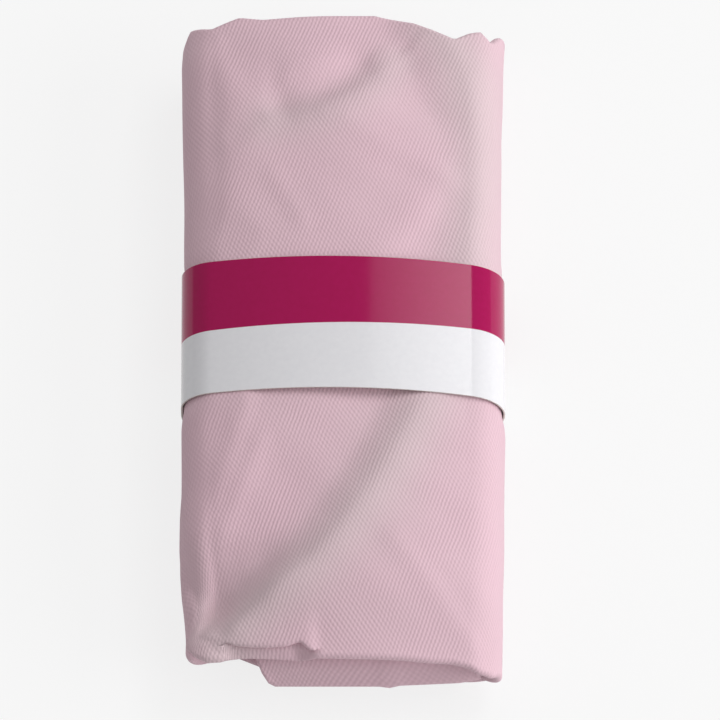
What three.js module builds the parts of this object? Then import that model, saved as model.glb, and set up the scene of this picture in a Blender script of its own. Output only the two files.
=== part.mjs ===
// A shower cap folded and rolled into a flat bundle, held by a printed card sleeve.
// Millimetres, +Z up. The bundle lies on its back: X is its width, Y its length, Z its thickness.
// The origin lies under the middle of the bundle, on the surface that the sleeve's back rests on.
//
// The cap is a cloth with a lining: a crown, and a brim that ends at a bound, elastic hem. Laid flat,
// its two ends are folded in to make a strip, and the strip is rolled flat into four layers.
import * as THREE from 'three';

// Driving dimensions of the bundle
const bundleLength = 148;
const bundleWidth = 66;
const sideRadius = 9.5; // the roll's right side
const spineRadius = 7.5; // the roll's left side
const crownRadius = 100; // the front, between the two sides
const cornerSetback = 3; // the ends lie this much further in at the roll's sides
const halfStagger = 0.8; // the outer layers lie this far up the length, the inner ones down
const freeEdgeInset = 9; // from the left side to the strip's outer end, on the back
const coreInset = 16; // from the right side to the middle of the inner bend
const coreEndInset = 10; // from the left side to the strip's inner end
const coreRadius = 0.5; // inside the inner bend
const layerGap = 0.5;
const endSink = 4.3; // how far the front sinks at the bundle's two ends

// Cloth, lining, hem and thread
const fabricThickness = 0.3;
const liningThickness = 0.15;
const plyClearance = 0.15;
const slitWidth = 8; // between the two folded-in ends
const hemRadius = 53; // the elastic hem, lying flat
const hemShift = 7; // from the middle of the roll's left side towards the front
const bindingThickness = 0.2;
const bindingDepth = 8; // from its mouth to its closed edge
const hemTuck = 1.5; // how far the cloth's edge goes into the binding
const elasticWidth = 5;
const elasticThickness = 0.6;
const hemClearance = 0.4; // round the elastic, inside the binding
const threadDiameter = 0.2;

// Card sleeve
const sleeveHeight = 30;
const sleevePlace = 0; // the sleeve's middle along the length
const sleeveClearance = 0.3;
const cardThickness = 0.35;
const lapLength = 14;
const lapRamp = 4;
const tapeThickness = 0.15;
const tapeWidth = 10;
const tapeMargin = 2; // the tape stops this far short of the sleeve's edges

// How finely the curves are cut
const bendStep = THREE.MathUtils.degToRad(30);
const longestStraight = 24;
const longestArc = 12.5;
const sleeveStep = THREE.MathUtils.degToRad(7.5);
const runShares = [1, 0.62, 0.28]; // corners on the run to an end, in shares of its length
const smallest = 1e-3; // points nearer than this are one point

// Depths of the plies under a layer's outer face: crown, brim, and the two plies of a folded-in end
const bindingHalf = elasticThickness / 2 + hemClearance + bindingThickness;
const hemHalf = bindingHalf + plyClearance + threadDiameter;
const liningStep = fabricThickness / 2 + plyClearance + liningThickness / 2; // from cloth to lining
const linedGap = 2 * liningStep + liningThickness + plyClearance; // from cloth to cloth, linings between
const crownDepth = fabricThickness / 2;
const hemDepth = crownDepth + liningStep + liningThickness / 2 + plyClearance + hemHalf;
const brimDepth = hemDepth + (plyClearance + liningThickness) / 2;
const flapBrimDepth = hemDepth + hemHalf + plyClearance + fabricThickness / 2;
const flapCrownDepth = flapBrimDepth + linedGap;
const layerThickness = flapCrownDepth + fabricThickness / 2;

// Past the hem the layers sink towards the bundle's ends, and their plies close up
const endRun = bundleLength / 2 - hemRadius - hemTuck - 2 * halfStagger;
const endBrimDepth = crownDepth + linedGap;
const endFlapBrimDepth = endBrimDepth + fabricThickness + plyClearance;
const endFlapCrownDepth = endFlapBrimDepth + linedGap;

// Heights of the roll
const halfWidth = bundleWidth / 2;
const lapStack = 2 * cardThickness + tapeThickness + 2 * plyClearance;
const backHeight = lapStack + sleeveClearance; // the bundle's back, over the sleeve's lap
const innerHeight = backHeight + layerThickness + layerGap; // the second layer's outer face
const coreBend = layerThickness + coreRadius;

// The arcs of the roll's outline, across its width
const side = new THREE.Vector2(halfWidth - sideRadius, backHeight + sideRadius);
const spine = new THREE.Vector2(spineRadius - halfWidth, innerHeight + spineRadius);
const crown = crownCentre();
const sideEnd = side.clone().sub(crown).angle();
const spineStart = spine.clone().sub(crown).angle();

// The crown's arc runs smoothly into both sides, so its centre lies a known distance from each.
function crownCentre() {
  const toSide = crownRadius - sideRadius;
  const toSpine = crownRadius - spineRadius;
  const line = side.clone().sub(spine);
  const span = line.length();
  const along = (span ** 2 + toSpine ** 2 - toSide ** 2) / (2 * span);
  const down = Math.sqrt(toSpine ** 2 - along ** 2);
  line.normalize();
  const below = new THREE.Vector2(line.y, -line.x);
  return spine.clone().addScaledVector(line, along).addScaledVector(below, down);
}

// Stations along the strip, from its outer end to its inner one. Each has its place on the strip's
// outer face, the direction out of that face, and how far along the strip it lies.
function stripStations() {
  const stations = [];
  const add = (x, z, outX, outZ, inner) => {
    const place = new THREE.Vector2(x, z);
    const last = stations.at(-1);
    const length = last ? last.length + place.distanceTo(last.place) : 0;
    if (!last || length - last.length > smallest) {
      stations.push({ place, out: new THREE.Vector2(outX, outZ), length, inner });
    }
  };
  const straight = (from, to, z, outZ, inner) => {
    const count = Math.ceil(Math.abs(to - from) / longestStraight);
    for (let k = 0; k <= count; k++) add(from + ((to - from) * k) / count, z, 0, outZ, inner);
  };
  const arc = (centre, radius, from, to, innerFrom, innerTo) => {
    const turn = to - from;
    const count = Math.ceil(Math.max(turn / bendStep, (turn * radius) / longestArc));
    for (let k = 0; k <= count; k++) {
      const angle = from + (turn * k) / count;
      const out = new THREE.Vector2(Math.cos(angle), Math.sin(angle));
      const inner = innerFrom + ((innerTo - innerFrom) * k) / count;
      add(centre.x + radius * out.x, centre.y + radius * out.y, out.x, out.y, inner);
    }
  };
  const core = new THREE.Vector2(halfWidth - coreInset, innerHeight + coreBend);
  straight(freeEdgeInset - halfWidth, side.x, backHeight, -1, 0);
  arc(side, sideRadius, -Math.PI / 2, sideEnd, 0, 0);
  arc(crown, crownRadius, sideEnd, spineStart, 0, 0);
  arc(spine, spineRadius, spineStart, (3 * Math.PI) / 2, 0, 1);
  straight(spine.x, core.x, innerHeight, -1, 1);
  arc(core, coreBend, -Math.PI / 2, Math.PI / 2, 1, 1);
  straight(core.x, coreEndInset - halfWidth, core.y + coreBend, 1, 1);
  return stations;
}

// A station part way between two others, so that the hem's two ends have stations of their own.
function withStationAt(stations, length) {
  const after = stations.findIndex((station) => station.length > length);
  const a = stations[after - 1];
  const b = stations[after];
  const t = (length - a.length) / (b.length - a.length);
  if (Math.min(t, 1 - t) * (b.length - a.length) < smallest) return stations;
  const place = a.place.clone().lerp(b.place, t);
  const out = a.out.clone().lerp(b.out, t);
  const inner = a.inner + (b.inner - a.inner) * t;
  return stations.toSpliced(after, 0, { place, out, length, inner });
}

const plainStations = stripStations();
const spineMiddle = plainStations.reduce((a, b) => (b.out.x < a.out.x ? b : a)).length;
const hemCentre = spineMiddle - hemShift;
const hemAngles = [0, 25, 50, 130, 155, 180].map(THREE.MathUtils.degToRad);
const hemLengths = hemAngles.map((angle) => hemCentre - hemRadius * Math.cos(angle));
const stations = hemLengths.reduce(withStationAt, plainStations);

// How far a layer sinks towards the bundle's ends: the more, the higher its outer face lies.
function sinkAt(y, height) {
  const top = crown.y + crownRadius;
  const share = THREE.MathUtils.smoothstep(Math.abs(y), bundleLength / 2 - endRun, bundleLength / 2);
  return (endSink * share * (height - backHeight)) / (top - backHeight);
}

// A point of the rolled strip, from how far along it lies, its place across and its depth.
function rolledPoint(length, across, depth) {
  const found = stations.findIndex((station) => station.length >= length - smallest);
  const after = Math.max(1, found);
  const a = stations[after - 1];
  const b = stations[after];
  const t = (length - a.length) / (b.length - a.length);
  const sunk = ({ place, out }) => place.clone().addScaledVector(out, -depth);
  const point = sunk(a).lerp(sunk(b), t);
  const inner = a.inner + (b.inner - a.inner) * t;
  const y = across + halfStagger * (1 - 2 * inner);
  const height = a.place.y + (b.place.y - a.place.y) * t;
  return new THREE.Vector3(point.x, y, point.y - sinkAt(y, height));
}

// The cloth's middle surface: one row of corners for each station, from the hem on one side of the
// strip, out to its fold, in to the slit, out again, over the crown, and back the same way.
function foldedCloth() {
  const points = [];
  const quads = [];
  const hemPlus = [];
  const hemMinus = [];
  const fold = (endFlapCrownDepth - crownDepth) / 2;
  const brimFold = (endFlapBrimDepth - endBrimDepth) / 2;
  let lastRow = null;
  for (const { length, out, inner } of stations) {
    const setback = cornerSetback * (1 - inner) * out.x ** 2;
    const end = bundleLength / 2 - halfStagger - fabricThickness / 2 - setback;
    const fromHem = length - hemCentre;
    const hem = Math.sqrt(Math.max(0, hemRadius ** 2 - fromHem ** 2));
    const run = (depth, endDepth) =>
      runShares.map((share) => [end - endRun * share, endDepth + (depth - endDepth) * share]);
    const brimRun = run(brimDepth, endBrimDepth).map(([across, depth]) => [Math.max(across, hem + 1), depth]);
    const brimEnd = end - fold - linedGap;
    const profile = [
      [hem, brimDepth],
      ...brimRun,
      [brimEnd, endBrimDepth],
      [brimEnd + brimFold, endBrimDepth + brimFold],
      [brimEnd, endFlapBrimDepth],
      ...run(flapBrimDepth, endFlapBrimDepth).toReversed(),
      [slitWidth / 2, flapBrimDepth],
      [slitWidth / 2, flapCrownDepth],
      ...run(flapCrownDepth, endFlapCrownDepth),
      [end - fold, endFlapCrownDepth],
      [end, crownDepth + fold],
      [end - fold, crownDepth],
      ...run(crownDepth, crownDepth).toReversed(),
    ];
    const add = (across, depth) => points.push(rolledPoint(length, across, depth)) - 1;
    const plus = profile.map(([across, depth]) => add(across, depth));
    const closed = hem < smallest; // beyond the hem, the brim's two sides are one
    const minus = profile.map(([across, depth], k) => (closed && k === 0 ? plus[0] : add(-across, depth)));
    if (Math.abs(fromHem) < hemRadius + smallest) {
      hemPlus.push({ length, across: hem });
      if (!closed) hemMinus.unshift({ length, across: -hem });
    }
    const row = [...minus, ...plus.toReversed()];
    if (lastRow) {
      for (let k = 0; k + 1 < row.length; k++) quads.push([lastRow[k], lastRow[k + 1], row[k + 1], row[k]]);
    }
    lastRow = row;
  }
  return { points, quads, hem: [...hemPlus, ...hemMinus] };
}

// For each corner of a sheet, the step that moves every face beside it by one millimetre.
function outwardSteps({ points, quads }) {
  const sums = points.map(() => new THREE.Vector3());
  const counts = points.map(() => 0);
  for (const [a, b, c, d] of quads) {
    const diagonal = points[c].clone().sub(points[a]);
    const normal = diagonal.cross(points[d].clone().sub(points[b])).normalize();
    for (const corner of [a, b, c, d]) {
      sums[corner].add(normal);
      counts[corner] += 1;
    }
  }
  const shortest = 0.5; // a sharper fold isn't mitred any further
  return sums.map((sum, k) => {
    const mean = sum.divideScalar(counts[k]);
    return mean.divideScalar(Math.max(mean.lengthSq(), shortest ** 2));
  });
}

function geometryOf(points, quads) {
  const triangles = quads.flatMap(([a, b, c, d]) => [a, b, c, a, c, d]);
  return new THREE.BufferGeometry().setFromPoints(points).setIndex(triangles);
}

// A closed layer that follows the sheet, with its faces at two distances from it.
function layer(sheet, outerDistance, innerDistance) {
  const steps = outwardSteps(sheet);
  const moved = (distance) => sheet.points.map((p, k) => p.clone().addScaledVector(steps[k], distance));
  const count = sheet.points.length;
  const inside = sheet.quads.map(([a, b, c, d]) => [a + count, d + count, c + count, b + count]);
  const sides = sheet.quads.flatMap((quad) => quad.map((corner, k) => [corner, quad[(k + 1) % 4]]));
  const used = new Set(sides.map(([from, to]) => `${from} ${to}`));
  const open = sides.filter(([from, to]) => !used.has(`${to} ${from}`));
  const edges = open.map(([from, to]) => [to, from, from + count, to + count]);
  const points = [...moved(outerDistance), ...moved(innerDistance)];
  return geometryOf(points, [...sheet.quads, ...inside, ...edges]);
}

// A closed ring round the hem with one profile all the way. A profile point is
// [inwards over the opening, deeper into the layer]. Where a wall twists over a bend, its two faces
// are split along the same diagonal, so that they stay a wall's thickness apart.
function hemRing(hem, profile) {
  const points = hem.flatMap(({ length, across }) => {
    const cosine = (length - hemCentre) / hemRadius;
    const sine = across / hemRadius;
    return profile.map(([inwards, deeper]) =>
      rolledPoint(length - inwards * cosine, across - inwards * sine, hemDepth + deeper),
    );
  });
  const count = profile.length;
  const quads = hem.flatMap((_, i) =>
    profile.map(([inwards, deeper], k) => {
      const here = i * count;
      const there = ((i + 1) % hem.length) * count;
      const next = (k + 1) % count;
      const onwards = profile[next][0] + profile[next][1] > inwards + deeper;
      return onwards
        ? [here + k, there + k, there + next, here + next]
        : [there + k, there + next, here + next, here + k];
    }),
  );
  return geometryOf(points, quads);
}

const part = new THREE.Group();
part.name = 'folded_shower_cap';

function addPiece(name, geometry, color, roughness, parent = part) {
  const material = new THREE.MeshStandardMaterial({ color, roughness, metalness: 0 });
  const mesh = new THREE.Mesh(geometry, material);
  mesh.name = name;
  parent.add(mesh);
  return mesh;
}

const fabricPink = 0xdcb9c5;
const filmWhite = 0xe9e6e4;
const sleeveCrimson = 0x9b1b4e;

// The cloth, and the lining on its inner side
const cloth = foldedCloth();
const halfFabric = fabricThickness / 2;
const liningFace = -halfFabric - plyClearance;
addPiece('cap_cloth', layer(cloth, halfFabric, -halfFabric), fabricPink, 0.8);
addPiece('cap_lining', layer(cloth, liningFace, liningFace - liningThickness), filmWhite, 0.35);

// The binding folds round the edges of cloth and lining, with the elastic in its closed side
const bindingInside = bindingHalf - bindingThickness;
const bindingEdge = bindingDepth - hemTuck;
const bindingProfile = [
  [-hemTuck, -bindingHalf],
  [bindingEdge, -bindingHalf],
  [bindingEdge, bindingHalf],
  [-hemTuck, bindingHalf],
  [-hemTuck, bindingInside],
  [bindingEdge - bindingThickness, bindingInside],
  [bindingEdge - bindingThickness, -bindingInside],
  [-hemTuck, -bindingInside],
];
addPiece('hem_binding', hemRing(cloth.hem, bindingProfile), fabricPink, 0.75);

const elasticEnd = bindingEdge - bindingThickness - plyClearance;
const elasticProfile = [
  [elasticEnd - elasticWidth, -elasticThickness / 2],
  [elasticEnd, -elasticThickness / 2],
  [elasticEnd, elasticThickness / 2],
  [elasticEnd - elasticWidth, elasticThickness / 2],
];
addPiece('elastic_band', hemRing(cloth.hem, elasticProfile), filmWhite, 0.7);

// The lockstitch that holds the binding: one thread on each of its faces
const threadRadius = threadDiameter / 2;
const threadDepth = bindingHalf + plyClearance + threadRadius;
const threadProfile = (face) => [
  [-hemTuck / 2 + threadRadius, face * threadDepth],
  [-hemTuck / 2, face * threadDepth + threadRadius],
  [-hemTuck / 2 - threadRadius, face * threadDepth],
  [-hemTuck / 2, face * threadDepth - threadRadius],
];
addPiece('needle_thread', hemRing(cloth.hem, threadProfile(-1)), fabricPink, 0.6);
addPiece('bobbin_thread', hemRing(cloth.hem, threadProfile(1)), fabricPink, 0.6);

// The sleeve's card runs from the lap's inner end round the bundle to the lap's outer end.
// Each point is on the card's outer face.
function sleeveOuterFace() {
  const path = [];
  const grown = sleeveClearance + cardThickness;
  const add = (x, z) => path.push(new THREE.Vector2(x, z));
  const arc = (centre, radiusX, radiusZ, from, to) => {
    const count = Math.ceil((to - from) / sleeveStep);
    for (let k = 0; k <= count; k++) {
      const angle = from + ((to - from) * k) / count;
      const x = centre.x + radiusX * Math.cos(angle);
      const z = centre.y + radiusZ * Math.sin(angle);
      const repeated = path.at(-1).distanceTo(new THREE.Vector2(x, z)) < smallest;
      if (!repeated) add(x, z);
    }
  };
  const lapEnd = lapLength / 2;
  add(-lapEnd, lapStack - cardThickness);
  add(lapEnd, lapStack - cardThickness);
  add(lapEnd + lapRamp, 0);
  const lowLeft = new THREE.Vector2(-side.x, side.y);
  arc(side, sideRadius + grown, sideRadius + backHeight, -Math.PI / 2, 0);
  arc(side, sideRadius + grown, sideRadius + grown, 0, sideEnd);
  arc(crown, crownRadius + grown, crownRadius + grown, sideEnd, spineStart);
  arc(spine, spineRadius + grown, spineRadius + grown, spineStart, Math.PI);
  arc(lowLeft, sideRadius + grown, sideRadius + backHeight, Math.PI, (3 * Math.PI) / 2);
  add(lapEnd, 0);
  return path;
}

// A path moved to its left by a distance, mitred at its corners.
function offsetPath(path, distance) {
  const leftOf = (a, b) => new THREE.Vector2(a.y - b.y, b.x - a.x).normalize();
  return path.map((point, k) => {
    const before = k > 0 ? leftOf(path[k - 1], point) : null;
    const after = k < path.length - 1 ? leftOf(point, path[k + 1]) : null;
    const mean = before && after ? before.add(after).multiplyScalar(0.5) : before || after;
    return point.clone().addScaledVector(mean, distance / mean.lengthSq());
  });
}

const sleeve = new THREE.Group();
sleeve.position.y = sleevePlace + sleeveHeight / 2;
sleeve.rotation.x = Math.PI / 2;
part.add(sleeve);

const cardFace = sleeveOuterFace();
const cardOutline = new THREE.Shape([...cardFace, ...offsetPath(cardFace, cardThickness).reverse()]);
const cardGeometry = new THREE.ExtrudeGeometry(cardOutline, { depth: sleeveHeight, bevelEnabled: false });
addPiece('sleeve_card', cardGeometry, sleeveCrimson, 0.2, sleeve);

// Double-sided tape joins the lap
const tapeGeometry = new THREE.BoxGeometry(tapeWidth, sleeveHeight - 2 * tapeMargin, tapeThickness);
const tape = addPiece('lap_tape', tapeGeometry, filmWhite, 0.5);
tape.position.set(0, sleevePlace, cardThickness + plyClearance + tapeThickness / 2);

export default part;
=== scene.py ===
import math

import bpy
import numpy as np
from mathutils import Matrix, Vector


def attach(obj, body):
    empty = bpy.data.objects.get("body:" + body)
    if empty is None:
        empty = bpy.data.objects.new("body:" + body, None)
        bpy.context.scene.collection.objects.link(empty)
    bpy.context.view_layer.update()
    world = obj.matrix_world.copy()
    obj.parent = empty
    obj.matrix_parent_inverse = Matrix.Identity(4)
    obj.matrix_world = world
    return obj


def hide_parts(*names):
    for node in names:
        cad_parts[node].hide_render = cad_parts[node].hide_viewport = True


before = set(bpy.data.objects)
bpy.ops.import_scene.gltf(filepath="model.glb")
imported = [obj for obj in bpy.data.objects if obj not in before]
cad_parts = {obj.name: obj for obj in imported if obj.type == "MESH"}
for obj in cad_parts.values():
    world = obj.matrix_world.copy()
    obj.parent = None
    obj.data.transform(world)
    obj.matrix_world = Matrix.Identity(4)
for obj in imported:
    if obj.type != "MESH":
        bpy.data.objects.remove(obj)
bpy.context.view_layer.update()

# Cap cloth
# The cap's outer cloth is a disc of pale pink twill. Laid flat, its two ends were folded in to make a
# strip, and the strip was rolled flat, so that its outer layer wraps the inner ones. Sizes are in mm.
mm = 0.001
half_width = 33.0
side_radius = 9.5  # the roll's right side
spine_radius = 7.5  # the roll's left side
crown_radius = 100.0  # the front, between the two sides
back_height = 1.45
under_height = 6.7  # outer face of the second layer, over the back layer
core_x = 17.0
core_radius = 5.25
free_edge_x = -24.0  # the strip's outer end, on the back
core_edge_x = -23.0  # the strip's inner end
layer_shift = 0.8  # the outer layers lie this far up the length, the inner ones down
path_step = 0.1  # between the points of the roll's outline

crown_depth = 0.15  # depths of the four plies under a layer's outer face
brim_depth = 2.15
flap_brim_depth = 3.55
flap_crown_depth = 4.6
fabric_thickness = 0.3
slit_half = 4.0  # between the two folded-in ends
hem_radius = 53.0
hem_shift = 7.0  # the hem's middle lies this far before the left side, along the strip
end_sink = 4.3  # how far the front sinks at the bundle's two ends
end_run = 17.9  # the length over which it sinks
end_start = 56.1  # where it starts, from the middle of the length


def rise(value, low, high):
    """0 at low, 1 at high and smooth between them. high may be the smaller one."""
    t = np.clip((value - low) / (high - low), 0.0, 1.0)
    return t * t * (3.0 - 2.0 * t)


def straight_run(x_from, x_to, z, out_z, inner):
    """A level part of the roll: x, z, its outward direction and the share of the inner layers."""
    x = np.linspace(x_from, x_to, int(abs(x_to - x_from) / path_step) + 2)
    one = np.ones_like(x)
    return np.column_stack([x, z * one, 0.0 * one, out_z * one, inner * one])


def round_run(centre, radius, start, stop, inner_from, inner_to):
    """A round part of the roll, in the same columns."""
    angle = np.linspace(start, stop, int(radius * (stop - start) / path_step) + 2)
    out = np.column_stack([np.cos(angle), np.sin(angle)])
    inner = np.linspace(inner_from, inner_to, len(angle))
    return np.column_stack([np.array(centre) + radius * out, out, inner])


side = np.array([half_width - side_radius, back_height + side_radius])
spine = np.array([spine_radius - half_width, under_height + spine_radius])
core = np.array([core_x, under_height + core_radius])

# the crown's arc runs smoothly into both sides
line = side - spine
span = np.hypot(*line)
line = line / span
reach_side = crown_radius - side_radius
reach_spine = crown_radius - spine_radius
along = (span**2 + reach_spine**2 - reach_side**2) / (2 * span)
below = np.array([line[1], -line[0]])
crown = spine + line * along + below * math.sqrt(reach_spine**2 - along**2)
side_end = math.atan2(side[1] - crown[1], side[0] - crown[0])
spine_start = math.atan2(spine[1] - crown[1], spine[0] - crown[0])

# the roll's outline: back, right side, front, left side, second layer, its bend, innermost layer
runs = [
    straight_run(free_edge_x, side[0], back_height, -1, 0),
    round_run(side, side_radius, -math.pi / 2, side_end, 0, 0),
    round_run(crown, crown_radius, side_end, spine_start, 0, 0),
    round_run(spine, spine_radius, spine_start, 1.5 * math.pi, 0, 1),
    straight_run(spine[0], core[0], under_height, -1, 1),
    round_run(core, core_radius, -math.pi / 2, math.pi / 2, 1, 1),
    straight_run(core[0], core_edge_x, core[1] + core_radius, 1, 1),
]
row_spacing = [2.2, 0.9, 0.9, 0.9, 3.0, 1.4, 1.3]  # of the cloth's rows along each of these runs
roll = np.vstack([run[1:] if k else run for k, run in enumerate(runs)])
roll_length = np.concatenate([[0.0], np.cumsum(np.hypot(*np.diff(roll[:, :2], axis=0).T))])
run_ends = roll_length[np.cumsum([len(run) - (k > 0) for k, run in enumerate(runs)]) - 1]
side_middle = roll_length[np.argmax(roll[:, 2])]
outer_part = roll_length < run_ends[4]
spine_middle = roll_length[outer_part][np.argmin(roll[outer_part, 2])]
core_middle = (run_ends[4] + run_ends[5]) / 2
hem_centre = spine_middle - hem_shift


def on_roll(length):
    """Place and outward direction on the roll's outer face, and the share of the inner layers."""
    return [np.interp(length, roll_length, column) for column in roll.T]


# how the ends of the layers lie: (x, distance from the middle of the length) round the roll
top_back = [(-24, 66), (-16, 69.5), (10, 70.5), (24, 71.2), (33, 72.6)]
top_front = [
    (-33, 68.8), (-31.8, 71.8), (-27.6, 70.6), (-24, 72.2), (-21.8, 73.1), (-17, 72.5), (-9, 73.2),
    (6.7, 74.2), (10.8, 73.3), (15, 72.3), (20.2, 69.8), (23.3, 68.4), (26.4, 70.5), (28.7, 71.3),
    (31, 69.2), (33, 72.6),
]
top_under = [(-33, 68.3), (-28, 69.5), (0, 71.5), (22.25, 71.0)]
top_core = [(-23, 66.5), (-19, 69.5), (0, 71.8), (22.25, 71.0)]
bottom_back = [(-24, 65), (-17, 68), (-8, 71), (22, 71), (30, 72.0), (33, 74.0)]
bottom_front = [
    (-33, 70.6), (-31.4, 72.4), (-28.3, 73.7), (-25.6, 73.6), (-23.5, 72.9), (-21.4, 72.6),
    (-15, 72.8), (-9, 73.0), (-6, 73.5), (0, 73.6), (12, 73.6), (18, 73.8), (22.5, 73.7), (26, 74.3),
    (28.3, 75.2), (31.6, 75.3), (33, 74.0),
]
bottom_under = [(-33, 71.6), (-27, 69.0), (-20, 65.0), (12, 64.5), (19, 68.0), (22.25, 70.5)]
bottom_core = [(-23, 64), (-18, 66), (16, 66), (20, 70.5), (22.25, 70.5)]


def end_of(length, back, front, under, inner_core):
    """Where the strip ends across, from the tables for the four layers."""
    x = on_roll(length)[0]
    parts = [np.interp(x, *np.transpose(table)) for table in (back, front, under, inner_core)]
    conditions = [length <= side_middle, length <= spine_middle, length <= core_middle]
    return np.select(conditions, parts[:3], parts[3])


# the innermost layer's lower end is folded down over the end of the layer under it
curl_radius = 6.0
curl_angle = math.radians(62)
curl_start = 67.0
curl_tail = 3.4
curl_nose = 1.2
curl_bend_share = 0.42  # it starts in this last part of the bend to the innermost layer


def curl_share(length):
    """How much of the curl the lower end has at a place along the strip, 0 to 1."""
    x = on_roll(length)[0]
    bend = curl_bend_share * (run_ends[5] - run_ends[4])
    curls = rise(x, -21, -14) * rise(length, run_ends[5] - bend, run_ends[5])
    return np.where(length > core_middle, curls, 0.0)


def curled(across, depth, share):
    """Places across and depths, with the lower end bent down."""
    out = -across - curl_start
    most = share * curl_angle
    angle = np.clip(out / curl_radius, 0.0, most)
    tail = np.maximum(out - curl_radius * most, 0.0)
    arm = curl_radius - depth
    new_across = -(curl_start + arm * np.sin(angle) + tail * np.cos(most))
    new_depth = curl_radius - arm * np.cos(angle) + tail * np.sin(most)
    bent = (out > 0) & (share > 0)
    return np.where(bent, new_across, across), np.where(bent, new_depth, depth)


def from_line(x, y, points):
    """Distance from a line of points, less than 0 on its left."""
    nearest = np.full(np.shape(x), 1e9)
    for (x0, y0), (x1, y1) in zip(points, points[1:]):
        dx, dy = x1 - x0, y1 - y0
        t = np.clip(((x - x0) * dx + (y - y0) * dy) / (dx * dx + dy * dy), 0.0, 1.0)
        off_x, off_y = x - x0 - t * dx, y - y0 - t * dy
        distance = np.hypot(off_x, off_y) * np.where(dx * off_y - dy * off_x > 0, -1.0, 1.0)
        nearest = np.where(np.abs(distance) < np.abs(nearest), distance, nearest)
    return nearest


def ridge(x, y, points, left, right):
    """A rounded fold along a line of points, 1 on the line, with a width on each side of it."""
    distance = from_line(x, y, points)
    return np.exp(-((distance / np.where(distance < 0, left, right)) ** 2))


def spot(x, y, centre_x, centre_y, wide, long):
    """A rounded dent or swelling, 1 at its middle."""
    return np.exp(-(((x - centre_x) / wide) ** 2) - ((y - centre_y) / long) ** 2)


# the elastic hem presses through the front as a raised line, from the lower left to the top right
hem_line = [
    (-25.5, -76), (-24, -70), (-22, -67), (-19.7, -64.4), (-16.8, -62), (-12, -58.2), (-6.4, -53.8),
    (0.2, -46.5), (6.8, -37.3), (12.6, -27), (18.3, -15), (21.8, -4), (24.8, 7), (27, 18.5),
    (28.8, 30.4), (29.3, 42), (28.6, 50), (26.4, 59.4), (23.5, 67.0), (20.5, 72.0),
]
pocket_line = [(-15, 47), (-9, 47.8), (-2.7, 49.2), (3, 52.6), (8, 58), (11, 62)]
pocket_crease = [
    (-23, 64), (-19.5, 57.5), (-15.5, 51.5), (-11.5, 51), (-8, 52), (-4.8, 53.4), (-1, 56.2), (3, 60),
]
shoulder_line = [
    (-27, 73), (-24.5, 60), (-23, 49), (-23, 38), (-23.5, 15), (-26, -15), (-25.5, -40), (-27, -75),
]

# smaller folds of the front: (height, width on the left, width on the right, line)
small_folds = [
    (0.3, 2.2, 2.6, [(-32, -60.5), (-28, -60), (-24, -58.5)]),
    (0.35, 2.4, 2.2, [(-30, -50), (-27.8, -43), (-22.5, -27), (-20, -15)]),
    (0.35, 2.4, 2.2, [(-26.5, -51), (-24.5, -45), (-17.5, -27)]),
    (0.35, 2.4, 3.0, [(10.8, -49), (17, -57), (26.4, -69.5)]),
    (0.26, 2.2, 2.2, [(-14.5, 34), (-8.5, 24)]),
    (0.32, 2.6, 3.0, [(-3, 49), (9, 41.5), (22, 35)]),
    (0.55, 5.5, 3.5, [(6, 14), (12.1, 21.5), (16.5, 28), (20, 34)]),
]

# dents of the front and one swelling, in the lower left corner: (height, x, y, width, length)
dents = [
    (-0.4, 27, -17, 3.5, 3.0),
    (-0.35, 28, -31, 4.0, 3.0),
    (-0.7, 13.5, 61.5, 4.5, 5.0),
    (-0.3, 22, -42, 5.0, 2.5),
    (-0.3, -12, -34, 6.0, 9.0),
    (1.2, -29.5, -70, 3.6, 4.5),
]

# near the lower left corner the front's ply is tucked under along this lip and comes out again below it
lip_line = [
    (-25.4, -69.6), (-21.9, -70.6), (-19.1, -71.0), (-15.2, -71.2), (-11.6, -71.0), (-9.4, -70.3),
    (-8.6, -70.3), (-6.8, -71.9), (-5.2, -73.4), (-4.0, -74.0),
]
lip_drop = 2.8  # how far the ply sinks past the lip
tuck_gap = 1.2  # from the lip's outer face down to the ply's outer face below it
tuck_back = 2.2  # how far the ply goes back under the lip
tuck_formed = 0.4  # the share from which the tuck has its full form
tuck_columns = 17


def lip_end(x):
    """The share of the lip's form towards its right end, where it runs out."""
    return rise(x, -4.6, -7.0)


def tuck_share(x):
    """The share of the tuck along the lip, none at either end."""
    return rise(x, -25.4, -21.8) * lip_end(x)


def tucked(lip, end, share):
    """The last points of one row of the crown's ply, from the lip to the end fold, tucked under the lip:
    their places across and how far they lie under the ply's plain depth."""
    back, bend = tuck_back * share, tuck_gap * share / 4
    turn = np.linspace(0.0, math.pi, 6)
    lip_bend = lip + bend * np.sin(turn)
    inner_bend = lip - back - bend * np.sin(turn)
    out = np.linspace(lip - back, end, tuck_columns - 2 * len(turn))[1:]
    across = np.concatenate([lip_bend, [lip - back / 2], inner_bend, out])
    one_bend = bend * (1 - np.cos(turn))
    under = np.concatenate([one_bend, [2 * bend], 2 * bend + one_bend, 4 * bend + 0 * out])
    plain = np.linspace(lip, end, tuck_columns)
    weight = rise(share, 0, tuck_formed)
    return plain + (across - plain) * weight, under * weight


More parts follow.
